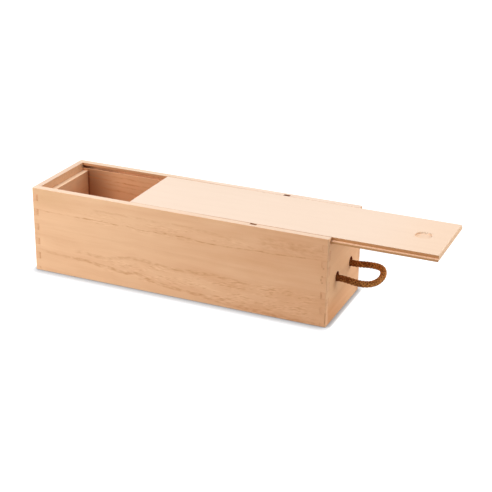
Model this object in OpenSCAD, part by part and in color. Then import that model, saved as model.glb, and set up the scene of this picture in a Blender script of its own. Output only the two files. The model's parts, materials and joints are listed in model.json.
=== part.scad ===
// Wooden box for one bottle, with finger-jointed walls, a sliding lid and a rope handle.
// Millimetres. The origin is the centre of the walls' base. +X points to the rope end, +Z up.
// The lid is drawn slid open towards the rope end, and the rope handle standing straight out.

/* [Walls] */
// Outside length of the four walls
box_l = 355; // [330:1:420]
// Outside width of the four walls
box_w = 108; // [98:1:150]
// Height of the long sides and of the closed end
box_h = 100; // [88:1:140]
// Thickness of the long sides
side_t = 8; // [6.5:0.5:12]
// Thickness of the two end boards
end_t = 7; // [5:0.5:12]
// Thickness of the bottom board
base_t = 5; // [3:0.5:10]
// Rounding of the four upright corners
corner_r = 1.2; // [0.4:0.1:3]

/* [Finger joints] */
// Height of one finger of an end board
finger_h = 7.8; // [5:0.1:14]
// Gap between two fingers of an end board
finger_gap = 9.8; // [5:0.1:16]
// Height of the lowest finger above the base
finger_first = 14.4; // [8:0.1:22]
// Least wood left between the top finger and the lid groove
finger_cover = 1; // [0.8:0.1:6]

/* [Lid and its grooves] */
// Wood left above the groove in each long side
lip_t = 3.2; // [2:0.1:5]
// Thickness of the lid's tongues
tongue_t = 2.6; // [1.5:0.1:5]
// Depth of the groove in each long side
groove_d = 3.2; // [2:0.1:4]
// Slack between the lid and the box, on each face
lid_play = 0.25; // [0.15:0.05:0.6]
// How far the lid is slid open
lid_open = 113; // [0:1:220]
// Diameter of the thumb recess
thumb_d = 17.5; // [14:0.5:30]
// Depth of the thumb recess
thumb_depth = 1.8; // [0.8:0.1:3]
// Centre of the thumb recess from the lid's outer end
thumb_in = 29; // [18:0.5:45]

/* [Boards inside] */
// Thickness of the board inside the closed end
spacer_t = 6.5; // [3:0.5:20]
// How far the top of that board lies below the lid groove
spacer_drop = 3.2; // [1:0.1:20]
// Thickness of the neck rest
rest_t = 5; // [3:0.5:10]
// Centre of the neck rest from the outside of the rope end
rest_in = 86.5; // [70:0.5:120]
// Height of the neck rest
rest_h = 70; // [50:1:80]
// Depth of the upright slots that hold the neck rest
slot_d = 2; // [1:0.1:2.4]
// Slack of the neck rest in its slots, on each face
rest_play = 0.25; // [0.1:0.05:0.5]
// Width of the notch for the bottle's neck
notch_w = 34; // [24:1:60]
// Height of the notch's centre above the bottom board
notch_up = 38; // [32:0.5:45]

/* [Rope handle] */
// Diameter of the rope
rope_d = 7; // [4:0.5:8]
// Diameter of the two rope holes
hole_d = 11; // [9:0.5:14]
// Distance between the two rope holes, centre to centre
hole_pitch = 44; // [36:1:60]
// Height of the rope holes' centres above the base
hole_up = 46.2; // [36:0.1:58]
// Slack between the rope and the lower side of its hole
rope_play = 0.3; // [0.2:0.05:0.5]
// Distance from the end board to the point where the rope bends
bend_out = 6; // [5:0.5:12]
// Diameter of a stopper knot
knot_d = 16; // [15:0.5:20]
// Length of a stopper knot along the rope
knot_l = 13; // [10:0.5:18]
// Length of the rope's free tail behind its knot
tail_l = 9; // [4:0.5:15]

/* [Hidden] */
$fn = 96;

// How far a cutter runs past the face that it cuts
past = 1;
inner_l = box_l - 2 * end_t;
inner_w = box_w - 2 * side_t;
closed_x = -inner_l / 2;
open_x = inner_l / 2;

// The grooves and the lid that slides in them
groove_h = tongue_t + 2 * lid_play;
groove_z = box_h - lip_t - groove_h;
lid_z = groove_z + lid_play;
lid_l = inner_l + end_t - lid_play;
lid_w = inner_w - 2 * lid_play;
tongue_w = lid_w + 2 * groove_d;
lid_x = closed_x + lid_play + lid_open;
thumb_x = lid_x + lid_l - thumb_in;

// The fingers, from the lowest to the one under the groove
finger_pitch = finger_h + finger_gap;
finger_room = groove_z - finger_cover - finger_first - finger_h;
finger_count = floor(finger_room / finger_pitch) + 1;
fingers = [for (i = [0 : finger_count - 1]) finger_first + i * finger_pitch];

// The boards inside
spacer_h = groove_z - spacer_drop - base_t;
rest_x = box_l / 2 - rest_in;
slot_w = rest_t + 2 * rest_play;
rest_w = inner_w + 2 * (slot_d - rest_play);

// The rope: it lies low in its holes, and the handle bends about a line across both strands
rope_r = rope_d / 2;
rope_z = hole_up - hole_d / 2 + rope_play + rope_r;
hole_y = hole_pitch / 2;
bend_x = box_l / 2 + bend_out;
// The rope holds this much of its own length straight behind the bend
stub_l = end_t + bend_out - rope_r - rope_play;
// How much of a knot's front turn is pressed flat by the board
knot_flat = 0.5;
rope_sides = 12;
// Spans between two neighbouring points of the loop's route, each cut into this many rings
route_rings = 2;
// The rounded ends of the loop, as angles round their ball
end_angles = [75, 50, 25];

// The loop's route from the near hole to the far one: along X from the bend, across from the near
// strand as a share of the distance between the holes, and up from the bend
route = [
    [0, 0, 0],
    [6, 0, -0.5],
    [12, 0, -1.4],
    [18.5, 0.01, -2.2],
    [25, 0.05, -2.6],
    [30.6, 0.13, -2.5],
    [34.5, 0.26, -1.9],
    [36.7, 0.42, -0.5],
    [36.7, 0.59, 1.1],
    [34.5, 0.75, 2.2],
    [30.6, 0.87, 2.5],
    [25, 0.95, 2.2],
    [18.5, 0.99, 1.6],
    [12, 1, 1],
    [6, 1, 0.4],
    [0, 1, 0]
];
route_points = [for (p = route) [bend_x + p[0], (p[1] - 0.5) * hole_pitch, rope_z + p[2]]];

// One point of a smooth curve through b and c, with a and d as their outer neighbours
function between(a, b, c, d, t) =
    0.5 * (2 * b + (c - a) * t + (2 * a - 5 * b + 4 * c - d) * t * t
           + (3 * b - 3 * c + d - a) * t * t * t);

function near(points, i) = points[min(max(i, 0), len(points) - 1)];

function smooth(points, steps) = concat(
    [for (i = [0 : len(points) - 2], k = [0 : steps - 1])
        between(near(points, i - 1), points[i], points[i + 1], near(points, i + 2), k / steps)],
    [points[len(points) - 1]]);

function unit(v) = v / norm(v);

// The rope leaves its holes square to the end board
function along(points, i) =
    i == 0 ? [1, 0, 0]
    : i == len(points) - 1 ? [-1, 0, 0]
    : unit(points[i + 1] - points[i - 1]);

// One ring of a round tube, square to the direction d
function ring(centre, d, r, sides) =
    let (side = unit(cross(d, [0, 0, 1])), up = cross(side, d))
    [for (k = [0 : sides - 1])
        centre + r * (cos(360 * k / sides) * side + sin(360 * k / sides) * up)];

// The faces between the rings, and the two flat ends
function skin(rings, sides) = concat(
    [[for (k = [0 : sides - 1]) k]],
    [for (i = [0 : rings - 2], k = [0 : sides - 1], h = [0, 1])
        let (a = i * sides + k, b = i * sides + (k + 1) % sides)
        h == 0 ? [a, a + sides, b] : [b, a + sides, b + sides]],
    [[for (k = [sides - 1 : -1 : 0]) (rings - 1) * sides + k]]);

// A box whose upright edges are rounded
module rounded_block(l, w, h, r) {
    linear_extrude(h)
        union() {
            square([l - 2 * r, w], center = true);
            square([l, w - 2 * r], center = true);
            for (x = [-1, 1], y = [-1, 1])
                translate([x * (l / 2 - r), y * (w / 2 - r)])
                    circle(r);
        }
}

// The outside shape that the four walls share
module walls_outside() {
    rounded_block(box_l, box_w, box_h, corner_r);
}

// The fingers of both end boards, through the long side at y from near_y outwards
module finger_slots(near_y) {
    for (z = fingers, x = [-box_l / 2 - past, open_x])
        translate([x, near_y - past, z])
            cube([end_t + past, side_t + 2 * past, finger_h]);
}

// A long side lies behind the wall's inner face at y = inner_w / 2
module long_side() {
    inner_y = inner_w / 2;
    difference() {
        intersection() {
            walls_outside();
            translate([-box_l / 2, inner_y, 0])
                cube([box_l, side_t, box_h]);
        }
        finger_slots(inner_y);
        // The groove runs from the closed end out through the rope end
        translate([closed_x, inner_y - past, groove_z])
            cube([inner_l + end_t + past, groove_d + past, groove_h]);
        // The upright slot for the neck rest
        translate([rest_x - slot_w / 2, inner_y - past, base_t])
            cube([slot_w, slot_d + past, box_h]);
    }
}

// An end board from x to x + end_t, with fingers that reach through both long sides
module end_board(x, height) {
    intersection() {
        walls_outside();
        translate([x, 0, 0])
            union() {
                translate([0, -inner_w / 2, 0])
                    cube([end_t, inner_w, height]);
                for (z = fingers)
                    translate([0, -box_w / 2, z])
                        cube([end_t, box_w, finger_h]);
            }
    }
}

// Anything that is there twice, once for each strand of the rope
module at_each_strand(z) {
    for (side = [-1, 1])
        translate([0, side * hole_y, z])
            rotate([0, 90, 0])
                children();
}

module front_side() {
    color("BurlyWood")
        mirror([0, 1, 0])
            long_side();
}

module back_side() {
    color("BurlyWood")
        long_side();
}

module closed_end() {
    color("Tan")
        end_board(-box_l / 2, box_h);
}

module rope_end() {
    color("Tan")
        difference() {
            end_board(open_x, groove_z);
            at_each_strand(hole_up)
                translate([0, 0, open_x - past])
                    cylinder(h = end_t + 2 * past, d = hole_d);
        }
}

module bottom_board() {
    color("Wheat")
        translate([closed_x, -inner_w / 2, 0])
            cube([inner_l, inner_w, base_t]);
}

module base_spacer() {
    color("NavajoWhite")
        translate([closed_x, -inner_w / 2, base_t])
            cube([spacer_t, inner_w, spacer_h]);
}

module neck_rest() {
    color("NavajoWhite")
        difference() {
            translate([rest_x - rest_t / 2, -rest_w / 2, base_t])
                cube([rest_t, rest_w, rest_h]);
            translate([rest_x - rest_t / 2 - past, 0, base_t + notch_up])
                union() {
                    rotate([0, 90, 0])
                        cylinder(h = rest_t + 2 * past, d = notch_w);
                    translate([0, -notch_w / 2, 0])
                        cube([rest_t + 2 * past, notch_w, rest_h]);
                }
        }
}

module lid() {
    color("Bisque")
        translate([lid_x, 0, lid_z])
            difference() {
                union() {
                    translate([0, -tongue_w / 2, 0])
                        cube([lid_l, tongue_w, tongue_t]);
                    translate([0, -lid_w / 2, 0])
                        cube([lid_l, lid_w, box_h - lid_z]);
                }
                translate([thumb_x - lid_x, 0, box_h - lid_z - thumb_depth])
                    cylinder(h = thumb_depth + past, d = thumb_d);
            }
}

// The loop outside the box, with a ball at each end where it bends
module rope_handle() {
    line = smooth(route_points, route_rings);
    last = len(line) - 1;
    out = [1, 0, 0];
    rings = concat(
        [for (a = end_angles) ring(line[0] - rope_r * sin(a) * out, out, rope_r * cos(a), rope_sides)],
        [for (i = [0 : last]) ring(line[i], along(line, i), rope_r, rope_sides)],
        [for (i = [len(end_angles) - 1 : -1 : 0])
            let (a = end_angles[i])
            ring(line[last] - rope_r * sin(a) * out, -out, rope_r * cos(a), rope_sides)]);
    color("SaddleBrown")
        polyhedron([for (r = rings) each r], skin(len(rings), rope_sides));
}

// The straight lengths of rope through the end board
module rope_ends() {
    color("SaddleBrown")
        at_each_strand(rope_z)
            translate([0, 0, open_x])
                cylinder(h = stub_l, d = rope_d);
}

// One knot of two round turns, pulled flat against the board at z = 0, with the rope's tail behind it
module knot() {
    turn_r = (knot_l + knot_flat) / 4;
    intersection() {
        union() {
            cylinder(h = knot_l, d = knot_d - 2 * turn_r);
            for (z = [turn_r - knot_flat, knot_l - turn_r])
                translate([0, 0, z])
                    rotate_extrude()
                        translate([knot_d / 2 - turn_r, 0])
                            circle(turn_r);
            translate([0, 0, knot_l])
                cylinder(h = tail_l, d = rope_d);
        }
        cylinder(h = knot_l + tail_l, d = knot_d + past);
    }
}

// The knots bear on the inside of the end board
module rope_knots() {
    color("Sienna")
        at_each_strand(rope_z)
            translate([0, 0, open_x])
                rotate([180, 0, 0])
                    knot();
}

front_side();
back_side();
closed_end();
rope_end();
bottom_board();
base_spacer();
neck_rest();
lid();
rope_handle();
rope_ends();
rope_knots();
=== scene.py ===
"""Looks of a softwood wine box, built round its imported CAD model.

The box has finger-jointed walls, a sliding lid in grooves, a notched neck rest and a braided rope
handle. Meshes are in metres in the frame of the CAD model, and patterns are in millimetres.
"""

import json
import logging
import math
from dataclasses import dataclass
from enum import Enum
from typing import Callable, ClassVar, Dict, List, Mapping, Optional, Sequence, Tuple, Union
import bmesh
import bpy
import numpy as np
from mathutils import Matrix, Vector
from mathutils.kdtree import KDTree


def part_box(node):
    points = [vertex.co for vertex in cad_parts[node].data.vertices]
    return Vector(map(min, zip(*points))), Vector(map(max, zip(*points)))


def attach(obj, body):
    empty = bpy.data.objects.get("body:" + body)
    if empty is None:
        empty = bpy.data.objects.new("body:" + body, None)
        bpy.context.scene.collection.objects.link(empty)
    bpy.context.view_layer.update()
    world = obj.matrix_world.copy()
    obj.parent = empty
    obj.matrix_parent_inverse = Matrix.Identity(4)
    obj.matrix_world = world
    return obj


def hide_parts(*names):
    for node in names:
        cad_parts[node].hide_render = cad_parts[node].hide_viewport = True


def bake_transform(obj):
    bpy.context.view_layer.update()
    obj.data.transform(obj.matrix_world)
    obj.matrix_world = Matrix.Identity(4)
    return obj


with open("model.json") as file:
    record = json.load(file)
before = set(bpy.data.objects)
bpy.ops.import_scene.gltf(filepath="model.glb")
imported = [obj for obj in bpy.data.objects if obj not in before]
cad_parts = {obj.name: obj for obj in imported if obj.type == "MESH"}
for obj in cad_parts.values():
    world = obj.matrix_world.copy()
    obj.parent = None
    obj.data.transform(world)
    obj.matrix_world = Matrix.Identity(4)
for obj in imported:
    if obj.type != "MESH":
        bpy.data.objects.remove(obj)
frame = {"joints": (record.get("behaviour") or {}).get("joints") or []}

log = logging.getLogger("wine_box")

MM = 0.001

Colour = Tuple[float, float, float]
Point = Tuple[float, float, float]
Number = Union["Term", float]
Value = Union["Term", bpy.types.NodeSocket, float, Sequence[float]]
Span = Tuple[str, float, float, float, float]
Facing = Tuple[str, float, float]


# ---------------------------------------------------------------- shader maths


class Term:
    """A number that changes over a surface: a socket, with Python's operators."""

    def __init__(self, shader: "Shader", socket: bpy.types.NodeSocket) -> None:
        """Wraps a socket of a shader's tree."""
        self.shader = shader
        self.socket = socket

    def __add__(self, other: Number) -> "Term":
        """Adds a number."""
        return self.shader.maths("ADD", self, other)

    __radd__ = __add__

    def __sub__(self, other: Number) -> "Term":
        """Takes a number away."""
        return self.shader.maths("SUBTRACT", self, other)

    def __rsub__(self, other: Number) -> "Term":
        """Takes this away from a number."""
        return self.shader.maths("SUBTRACT", other, self)

    def __mul__(self, other: Number) -> "Term":
        """Multiplies by a number."""
        return self.shader.maths("MULTIPLY", self, other)

    __rmul__ = __mul__

    def __truediv__(self, other: Number) -> "Term":
        """Divides by a number."""
        return self.shader.maths("DIVIDE", self, other)

    def __rtruediv__(self, other: Number) -> "Term":
        """Divides a number by this."""
        return self.shader.maths("DIVIDE", other, self)

    def __abs__(self) -> "Term":
        """The number without its sign."""
        return self.shader.maths("ABSOLUTE", self)

    def floor(self) -> "Term":
        """The whole number below."""
        return self.shader.maths("FLOOR", self)

    def least(self, other: Number) -> "Term":
        """The smaller of two numbers."""
        return self.shader.maths("MINIMUM", self, other)

    def most(self, other: Number) -> "Term":
        """The larger of two numbers."""
        return self.shader.maths("MAXIMUM", self, other)

    def step(self, low: float, high: float) -> "Term":
        """A smooth step from 0 at low to 1 at high."""
        node = self.shader.node(
            "ShaderNodeMapRange",
            {"interpolation_type": "SMOOTHSTEP"},
            {"Value": self, "From Min": low, "From Max": high},
        )
        return Term(self.shader, node.outputs["Result"])

    def peak(self, centre: Number, core: float, reach: float) -> "Term":
        """1 within core of the centre, falling to 0 at reach from it."""
        return 1 - abs(self - centre).step(core, reach)


class Shader:
    """One material's node tree, and the few ways in which nodes are added to it."""

    def __init__(self, name: str) -> None:
        """Starts a material with an empty tree.

        Args:
            name: the material's name.
        """
        self.material = bpy.data.materials.new(name)
        self.material.use_nodes = True
        self.tree = self.material.node_tree
        self.tree.nodes.clear()

    def node(
        self,
        kind: str,
        settings: Optional[Mapping[str, object]] = None,
        sockets: Optional[Mapping[Union[str, int], Value]] = None,
    ) -> bpy.types.Node:
        """Adds a node.

        Args:
            kind: the node's type.
            settings: its properties, and "curve" for the points of a Float Curve.
            sockets: values or links of its inputs, by name or number.

        Returns:
            The new node.
        """
        made = self.tree.nodes.new(kind)
        for name, value in (settings or {}).items():
            if name == "curve":
                self._set_curve(made, value)
            else:
                setattr(made, name, value)
        for key, value in (sockets or {}).items():
            socket = made.inputs[key]
            if isinstance(value, Term):
                value = value.socket
            if isinstance(value, bpy.types.NodeSocket):
                self.tree.links.new(value, socket)
            else:
                socket.default_value = value
        return made

    @staticmethod
    def _set_curve(node: bpy.types.Node, points: Sequence[Tuple[float, float]]) -> None:
        """Gives a Float Curve node its points.

        Args:
            node: the node, which has two points at first.
            points: where it goes through, from 0 to 1 both ways.
        """
        line = node.mapping.curves[0]
        while len(line.points) < len(points):
            line.points.new(0.5, 0.5)
        for point, place in zip(line.points, points):
            point.location = place
        node.mapping.update()

    def maths(self, operation: str, *values: Number) -> Term:
        """Adds a Math node on one or more values."""
        node = self.node("ShaderNodeMath", {"operation": operation}, dict(enumerate(values)))
        return Term(self, node.outputs[0])

    def place(self) -> Tuple[Term, Term, Term]:
        """The three Object coordinates of a spot, in millimetres."""
        spot = self.node("ShaderNodeTexCoord").outputs["Object"]
        return self.split(self.scaled(spot, 1 / MM))

    def facing(self) -> Tuple[Term, Term, Term]:
        """The way the surface faces, in the object's own frame."""
        return self.split(self.node("ShaderNodeTexCoord").outputs["Normal"])

    def scaled(self, vector: bpy.types.NodeSocket, factor: float) -> bpy.types.NodeSocket:
        """A vector times a number."""
        node = self.node(
            "ShaderNodeVectorMath", {"operation": "SCALE"}, {0: vector, "Scale": factor}
        )
        return node.outputs[0]

    def split(self, vector: bpy.types.NodeSocket) -> Tuple[Term, Term, Term]:
        """The three numbers of a vector."""
        node = self.node("ShaderNodeSeparateXYZ", sockets={0: vector})
        return tuple(Term(self, out) for out in node.outputs)

    def joined(self, x: Number, y: Number, z: Number) -> bpy.types.NodeSocket:
        """A vector of three numbers."""
        return self.node("ShaderNodeCombineXYZ", sockets={0: x, 1: y, 2: z}).outputs[0]

    def noise(
        self, vector: bpy.types.NodeSocket, detail: float = 2.0, roughness: float = 0.5
    ) -> Term:
        """Cloudy noise, about 0.5 on average."""
        node = self.node(
            "ShaderNodeTexNoise",
            sockets={"Vector": vector, "Scale": 1.0, "Detail": detail, "Roughness": roughness},
        )
        return Term(self, node.outputs[0])

    def chance(self, number: Term) -> Term:
        """A fixed draw from 0 to 1 for each whole number."""
        node = self.node(
            "ShaderNodeTexWhiteNoise", {"noise_dimensions": "1D"}, {"W": number}
        )
        return Term(self, node.outputs[0])

    def mixed(self, factor: Number, first: Value, second: Value, how: str = "MIX") -> Value:
        """Mixes two colours by a Mix node.

        Args:
            factor: 0 for the first colour, 1 for the second.
            first: a colour or a colour socket.
            second: a colour or a colour socket.
            how: the blend type.

        Returns:
            The colour socket.
        """
        node = self.node(
            "ShaderNodeMix",
            {"data_type": "RGBA", "blend_type": how, "clamp_factor": True},
            {0: factor, 6: opaque(first), 7: opaque(second)},
        )
        return node.outputs[2]

    def finish(self, surface: bpy.types.Node) -> bpy.types.Material:
        """Wires a shader node to the output and hands over the material."""
        self.node("ShaderNodeOutputMaterial", sockets={"Surface": surface.outputs[0]})
        return self.material


def opaque(colour: Value) -> Value:
    """A colour tuple with its alpha, or a socket as it is."""
    return (*colour, 1.0) if isinstance(colour, tuple) else colour


# ---------------------------------------------------------------- finishes


class Lie(Enum):
    """How a board lies in the frame: the axis of its grain, of its width and of its thickness."""

    ON_EDGE = ("X", "Z", "Y")
    FLAT = ("X", "Y", "Z")
    ACROSS = ("Y", "Z", "X")


@dataclass(frozen=True)
class GrainLine:
    """One dark line of late wood that is seen along a face.

    Attributes:
        points: its height at places along the board, in millimetres.
        core: half the width of its dark middle.
        reach: half its full width.
        depth: how dark it is, from 0 to 1.
    """

    points: Tuple[Tuple[float, float], ...]
    core: float
    reach: float
    depth: float


@dataclass(frozen=True)
class FleckPatch:
    """A part of a face with short pale and dark dashes, in millimetres.

    Attributes:
        run: its middle along the grain.
        run_reach: half its length.
        width: its middle across the grain.
        width_reach: half its width.
        climb: how far the dashes rise for each millimetre along the grain.
        depth: how strong they are.
        dash: length and width of a dash.
        group: length and width of a group of dashes.
        full: share of each reach within which they have their full strength.
        pale: how strong the pale dashes are beside the dark ones.
    """

    run: float
    run_reach: float
    width: float
    width_reach: float
    climb: float = 0.0
    depth: float = 0.2
    dash: Tuple[float, float] = (7.0, 0.95)
    group: Tuple[float, float] = (26.0, 5.0)
    full: float = 0.55
    pale: float = 0.8

    def tone(self, shader: Shader, run: Term, width: Term, seed: float) -> Term:
        """Works out what the dashes do to a spot.

        Args:
            shader: the board's material.
            run: the spot's place along the grain.
            width: its place across the grain.
            seed: shifts the pattern.

        Returns:
            How much darker the spot is, or lighter below zero.
        """
        across = width - run * self.climb
        (length, thick), (group_length, group_width) = self.dash, self.group
        dash = shader.noise(shader.joined(run / length + seed, across / thick, seed), 1.0)
        place = shader.joined(run / group_length, across / group_width, seed + 3.0)
        group = shader.noise(place, 2.0).step(0.4, 0.62)
        both = dash.step(0.54, 0.66) - (1 - dash.step(0.34, 0.46)) * self.pale
        area = run.peak(self.run, self.run_reach * self.full, self.run_reach)
        area = area * width.peak(self.width, self.width_reach * self.full, self.width_reach)
        return both * group * area * self.depth


@dataclass(frozen=True)
class Stain:
    """A place of a board that has its own colour, or painted light or shade.

    Attributes:
        colour: that colour.
        strength: how much of it there is.
        within: for each axis, the outer and inner borders of the place on both sides: the colour
            starts at the first number, is complete from the second to the third, and ends at the
            fourth. An axis in lower case is taken without its sign.
        facing: for each axis, how far the surface faces along it where the colour starts and where
            it is complete. An axis in lower case is taken without its sign.
        round_hole: the middle of a hole along X, by Y without its sign and Z, and its radius.
        hole_rim: how far past that radius the colour fades.
    """

    colour: Colour
    strength: float = 1.0
    within: Tuple[Span, ...] = ()
    facing: Tuple[Facing, ...] = ()
    round_hole: Optional[Tuple[float, float, float]] = None
    hole_rim: float = 0.35

    def mask(self, spot: Mapping[str, Term], facing: Mapping[str, Term]) -> Term:
        """Works out where the stain lies.

        Args:
            spot: a spot's place on each axis, in millimetres.
            facing: how far the surface faces along each axis there.

        Returns:
            How much of the colour the spot has.
        """

        def of(terms: Mapping[str, Term], axis: str) -> Term:
            """A number along an axis, without its sign for one in lower case."""
            return abs(terms[axis.upper()]) if axis.islower() else terms[axis]

        total: Number = self.strength
        for axis, start, full, still, end in self.within:
            term = of(spot, axis)
            total = term.step(start, full) * (1 - term.step(still, end)) * total
        for axis, start, full in self.facing:
            total = of(facing, axis).step(start, full) * total
        if self.round_hole is not None:
            y, z, radius = self.round_hole
            side, up = abs(spot["Y"]) - y, spot["Z"] - z
            far = side * side + up * up
            total = (1 - far.step(radius**2, (radius + self.hole_rim) ** 2)) * total
        return total


@dataclass(frozen=True)
class JointMarks:
    """Fine glue lines where the walls meet in finger joints, in millimetres.

    Attributes:
        end: distance from the middle of the box to an end board.
        side: distance from the middle of the box to a long side.
        first: height of the lowest finger.
        finger: height of a finger.
        pitch: distance from one finger to the next.
        depth: how dark the marks are.
        glue: how dark the glue lines are beside the fingers' shoulders.
        shoulder: how dark the shoulders are.
        hairline: half the width of a glue line's middle, and of the whole line.
        fade: where a shoulder starts to fade and where it ends, outwards from the joint.
        far_loss: how much fainter all marks are at the rope end.
    """

    end: float
    side: float
    first: float
    finger: float
    pitch: float
    depth: float = 0.3
    glue: float = 0.4
    shoulder: float = 1.9
    hairline: Tuple[float, float] = (0.05, 0.45)
    fade: Tuple[float, float] = (0.8, 3.4)
    far_loss: float = 0.55

    def darkness(self, shader: Shader, x: Term, y: Term, z: Term) -> Term:
        """Works out what the joints do to a spot of the walls.

        Args:
            shader: the board's material.
            x: the spot's place along the box.
            y: its place across the box.
            z: its height.

        Returns:
            How much darker the spot is.
        """
        turn = (z - self.first + self.finger * 0.5) / self.pitch
        off = abs((turn - turn.floor()) * self.pitch - self.finger) - self.finger * 0.5
        out = abs(x) - self.end
        seam = (0 - out).most(off.least(abs(y) - self.side))
        fine = 1 - abs(seam).step(*self.hairline)
        block = 1 - off.step(-0.5, 0.3)
        deep = out.step(-0.4, 0.2) * (1 - out.step(*self.fade)) * block
        outside = (abs(y) - self.side).step(0.0, 1.0)
        uneven = shader.noise(shader.joined(x * 0.4, y * 0.4, z * 0.3), 2.0).step(0.34, 0.62)
        worn = shader.noise(shader.joined(x * 0.7, y * 0.7, z * 0.7), 2.0)
        near = 1 - x.step(0, 1) * self.far_loss
        shoulders = deep * outside * (0.35 + uneven * 0.65) * worn
        return (fine * self.glue * uneven + shoulders * self.shoulder) * near * self.depth


WALL_PALE: Colour = (0.968, 0.616, 0.367)
WALL_DARK: Colour = (0.56, 0.21, 0.07)
WALL_WARM: Colour = (0.858, 0.468, 0.25)

# How dark plain wood is, between its own colour and the dark one.
BASE_TONE = 0.15

# The part of a board that a grain line's curve covers, in millimetres.
CURVE_START, CURVE_LENGTH, CURVE_HEIGHT = -180, 360, 100

# The fibres follow the lowest line as far as it lies off this height, and less further up.
FLAT_LINE = 15
FOLLOWED = (15, 70)

# In how many millimetres a grain line fades at its ends.
LINE_FADE = 12


@dataclass(frozen=True)
class WoodFinish:
    """Planed bare softwood.

    Attributes:
        name: the material's name.
        slot: the record's material slot.
        lie: how the board lies.
        pale: colour of the early wood.
        dark: colour that the rings, pores and lines tend to.
        warm: colour that the board drifts to along its length, partly its own tone and partly
            painted shade.
        drift: how much of that colour there is at the far end.
        drift_axis: axis of the frame along which it drifts.
        drift_from: place where the drift starts.
        drift_to: place where it is complete.
        top: colour of the upper faces, a painted highlight.
        top_from: height above which upper faces have that colour.
        ring_gap: distance between two growth rings.
        ring_depth: how dark a strong ring is.
        slant: how far a ring climbs for each millimetre of thickness.
        wander: how far the rings stray from straight lines.
        cloud: how strong the broad streaks are.
        fibre: how strong the fine streaks are.
        pore: how strong the short dashes are.
        end_grain: how much darker the cut ends are.
        seed: shifts the pattern, so that no two boards are alike.
        lines: single dark lines of the face.
        line_side: -1 or 1 if only the faces that look along -Y or +Y have the lines.
        flecks: places with short pale and dark dashes.
        stains: what darkens, lightens or colours single places of the board, with painted shade and
            highlights among them.
    """

    name: str
    slot: str
    lie: Lie
    pale: Colour = WALL_PALE
    dark: Colour = WALL_DARK
    warm: Colour = WALL_WARM
    drift: float = 0.0
    drift_axis: str = "X"
    drift_from: float = -177.5
    drift_to: float = 177.5
    top: Optional[Colour] = None
    top_from: float = 97.5
    ring_gap: float = 4.5
    ring_depth: float = 0.1
    slant: float = 0.6
    wander: float = 5.0
    cloud: float = 0.08
    fibre: float = 0.07
    pore: float = 0.1
    end_grain: float = 0.14
    seed: float = 0.0
    lines: Tuple[GrainLine, ...] = ()
    line_side: float = 0.0
    flecks: Tuple[FleckPatch, ...] = ()
    stains: Tuple[Stain, ...] = ()

    def paint(self, joints: Optional[JointMarks] = None) -> bpy.types.Material:
        """Builds the material.

        Args:
            joints: the finger joints that show on the board, if it has them.

        Returns:
            The material.
        """
        shader = Shader(self.name)
        spot = dict(zip("XYZ", shader.place()))
        facing = dict(zip("XYZ", shader.facing()))
        run, width, depth = (spot[axis] for axis in self.lie.value)
        ends = abs(facing[self.lie.value[0]]).step(0.6, 0.9)

        level = self._level(shader, run, width, depth)
        lines = self._line_darkness(shader, run, width)
        if self.line_side:
            lines = lines * (facing["Y"] * self.line_side).step(0.0, 0.6)
        late = self._late_wood(shader, level)

        def streaks(length: float, across: float, detail: float) -> Term:
            """Noise that is drawn out along the grain."""
            place = shader.joined(
                run / length + self.seed, level / across, depth / across + self.seed
            )
            return shader.noise(place, detail)

        cloud = streaks(length=170, across=7, detail=3.0) - 0.5
        mottle = streaks(length=48, across=13, detail=2.0) - 0.5
        fibre = streaks(length=26, across=0.55, detail=2.0) - 0.5
        broken = streaks(length=34, across=5, detail=2.0).step(0.36, 0.62)
        patch = streaks(length=60, across=12, detail=2.0).step(0.42, 0.68)
        pore = streaks(length=5.5, across=0.42, detail=0.0).step(0.66, 0.8) * patch
        speckle = shader.noise(shader.joined(run / 2, width / 0.35, depth / 0.35), 2.0)

        tone = (
            BASE_TONE
            + late * self.ring_depth * (0.35 + broken * 0.8)
            + cloud * (2 * self.cloud)
            + mottle * (2 * self.cloud)
            + fibre * (2 * self.fibre)
            + pore * self.pore
            + lines
            + ends * (self.end_grain + (speckle - 0.5) * (self.end_grain * 2.5))
        )
        for fleck in self.flecks:
            tone = tone + fleck.tone(shader, run, width, self.seed)
        if joints is not None:
            tone = tone + joints.darkness(shader, *spot.values())

        colour = self._colour(shader, spot, facing, cloud + mottle)
        bump = shader.node(
            "ShaderNodeBump",
            sockets={
                "Strength": 0.5,
                "Distance": 0.05 * MM,
                "Height": fibre * 1.2 - pore * 0.7 + late * 0.4,
            },
        )
        skin = shader.node(
            "ShaderNodeBsdfPrincipled",
            sockets={
                "Base Color": shader.mixed(tone, colour, self.dark),
                "Roughness": 0.62 + (fibre - late * 0.5) * 0.16,
                "Specular IOR Level": 0.25,
                "Normal": bump.outputs[0],
            },
        )
        return shader.finish(skin)

    def _colour(
        self,
        shader: Shader,
        spot: Mapping[str, Term],
        facing: Mapping[str, Term],
        uneven: Term,
    ) -> Value:
        """Mixes the wood's colour, with its painted highlights and shade, before the grain darkens
        it.

        Args:
            shader: the board's material.
            spot: a spot's place on each axis.
            facing: how far the surface faces along each axis there.
            uneven: broad streaks, about 0 on average.

        Returns:
            The colour socket.
        """
        span = self.drift_to - self.drift_from
        along = ((spot[self.drift_axis] - self.drift_from) / span).least(1).most(0)
        # Along the drift the board darkens: partly its own tone, and partly painted shade where the
        # light falls off.
        colour = shader.mixed(along * self.drift + uneven * 0.5, self.pale, self.warm)
        # Upper faces above top_from get a paler colour: a painted highlight.
        if self.top is not None:
            upper = facing["Z"].step(0.5, 0.9) * spot["Z"].step(self.top_from - 0.4, self.top_from)
            colour = shader.mixed(upper, colour, self.top)
        # Stains add marks of the wood's own, and painted shade and highlights.
        for stain in self.stains:
            colour = shader.mixed(stain.mask(spot, facing), colour, stain.colour)
        return colour

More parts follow.
